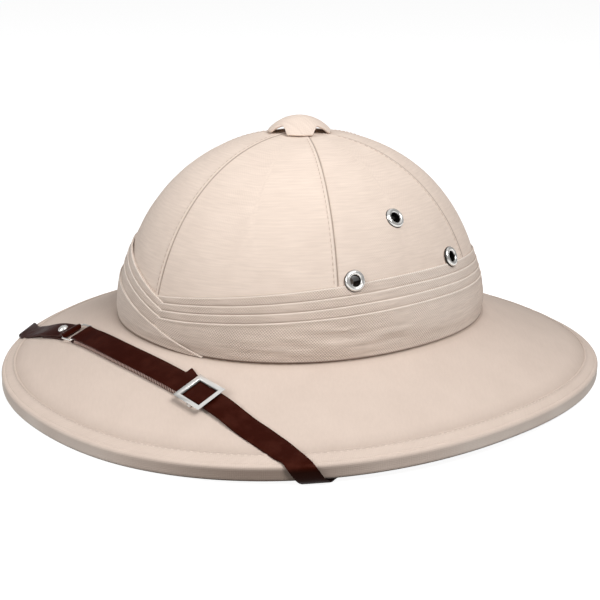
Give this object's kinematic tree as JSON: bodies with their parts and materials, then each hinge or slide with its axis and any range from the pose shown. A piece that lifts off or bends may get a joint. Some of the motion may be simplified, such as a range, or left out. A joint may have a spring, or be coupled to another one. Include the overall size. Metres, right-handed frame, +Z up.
{
  "type": "pith helmet",
  "caption": "Cloth-covered pith helmet with a domed crown, wide sloping brim, pleated puggaree, vent button, eyelets and a leather chin strap across the front of the brim.",
  "frame": {"origin": "middle of the hat's length and width, on the floor that the brim rests on", "axes": "+Z up through the crown, -Y towards the front of the hat, +X towards the wearer's left"},
  "size_m": [0.3112, 0.34, 0.1429],
  "materials": {
    "cloth": "ribbed cotton twill, matte",
    "strap_leather": "dark brown, semi-gloss",
    "nickel": "bright nickel plate"
  },
  "bodies": {
    "root": {"crown": "cloth", "brim": "cloth", "brim_binding": "cloth", "puggaree_wrap": "cloth", "puggaree_tail": "cloth", "button_cap": "cloth", "eyelet_left_front": "nickel", "eyelet_left_top": "nickel", "eyelet_left_back": "nickel", "eyelet_right_front": "nickel", "eyelet_right_top": "nickel", "eyelet_right_back": "nickel", "strap_long": "strap_leather", "strap_tab": "strap_leather", "slider_buckle": "nickel", "strap_ring": "nickel", "snap_stud": "nickel", "strap_rivet_left": "nickel", "strap_rivet_right": "nickel"}
  },
  "joints": []
}
